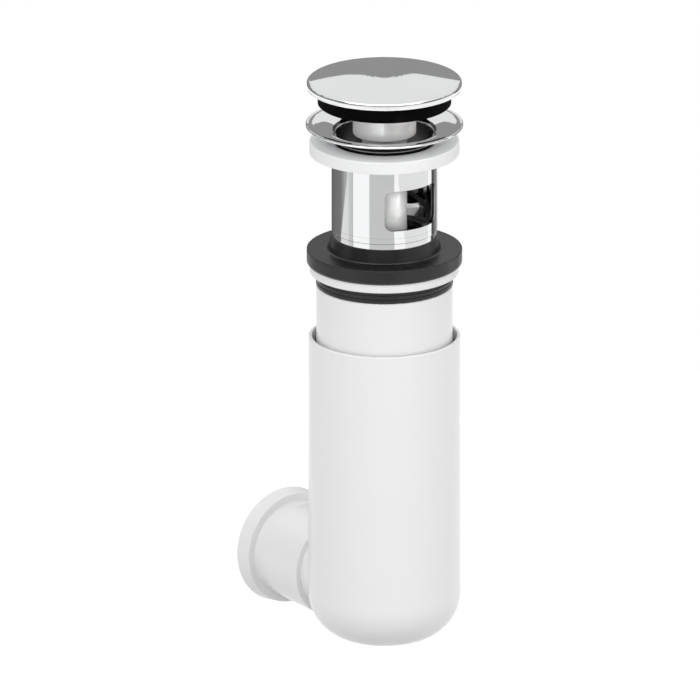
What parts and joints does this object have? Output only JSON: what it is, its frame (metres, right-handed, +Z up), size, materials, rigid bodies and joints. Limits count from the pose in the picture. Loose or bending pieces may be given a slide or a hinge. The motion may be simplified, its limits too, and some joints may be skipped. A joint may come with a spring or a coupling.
{
  "type": "basin siphon",
  "caption": "Basin waste with push plug and overflow window on a height-adjustable round-bottomed trap with a push-fit side outlet.",
  "frame": {"origin": "on the waste's axis, in the plane where the white gasket rests on the basin", "axes": "+Z up along the waste's axis, +Y along the outlet towards the wall pipe, +X to the right when the outlet points away"},
  "size_m": [0.063, 0.0999, 0.2382],
  "materials": {
    "chrome": "polished",
    "white_gasket": "satin",
    "black_rubber": "matt",
    "white_plastic": "gloss",
    "black_plastic": "satin",
    "pale_plastic": "gloss",
    "steel": "bright",
    "red_plastic": "satin"
  },
  "bodies": {
    "waste": {"waste_body": "chrome", "flange_gasket": "white_gasket", "lower_gasket": "black_rubber", "clamp_nut": "white_plastic", "collar_seal": "black_rubber", "inlet_tube": "white_plastic"},
    "slide_ring": {"bowl_oring": "black_rubber"},
    "bowl": {"bowl": "white_plastic", "outlet_socket": "white_plastic", "outlet_seal": "black_rubber"},
    "insert": {"trap_head": "black_plastic", "head_oring": "black_rubber", "dip_tube": "black_plastic", "trap_cup": "black_plastic", "cartridge_post": "pale_plastic", "guide_sleeve": "white_gasket", "cartridge_spring": "steel", "cartridge_screw": "steel"},
    "plug": {"plug_cap": "chrome", "plug_seal": "black_rubber", "plug_sleeve": "pale_plastic", "plunger_stem": "steel"},
    "rotor": {"ratchet_rotor": "red_plastic"}
  },
  "joints": [
    {"name": "bowl_swivel", "type": "hinge", "parent": "waste", "child": "slide_ring", "pos_m": [0, 0, -0.1341], "axis": [0, 0, 1], "continuous": true},
    {"name": "bowl_height", "type": "slide", "parent": "slide_ring", "child": "bowl", "axis": [0, 0, 1], "range_m": [-0.045, 0.02]},
    {"name": "trap_lift", "type": "slide", "parent": "waste", "child": "insert", "axis": [0, 0, 1], "range_m": [0, 0.16]},
    {"name": "plug_press", "type": "slide", "parent": "insert", "child": "plug", "axis": [0, 0, -1], "range_m": [0, 0.0086], "stiffness_N_per_m": 400, "springref_m": -0.012, "deforming": ["cartridge_spring"]},
    {"name": "rotor_turn", "type": "hinge", "parent": "plug", "child": "rotor", "pos_m": [0, 0, -0.0096], "axis": [0, 0, 1], "range_deg": [0, 45]}
  ],
  "couplings": [
    {"joint": "rotor_turn", "follows": "plug_press", "rad_per_m": 91.311}
  ]
}
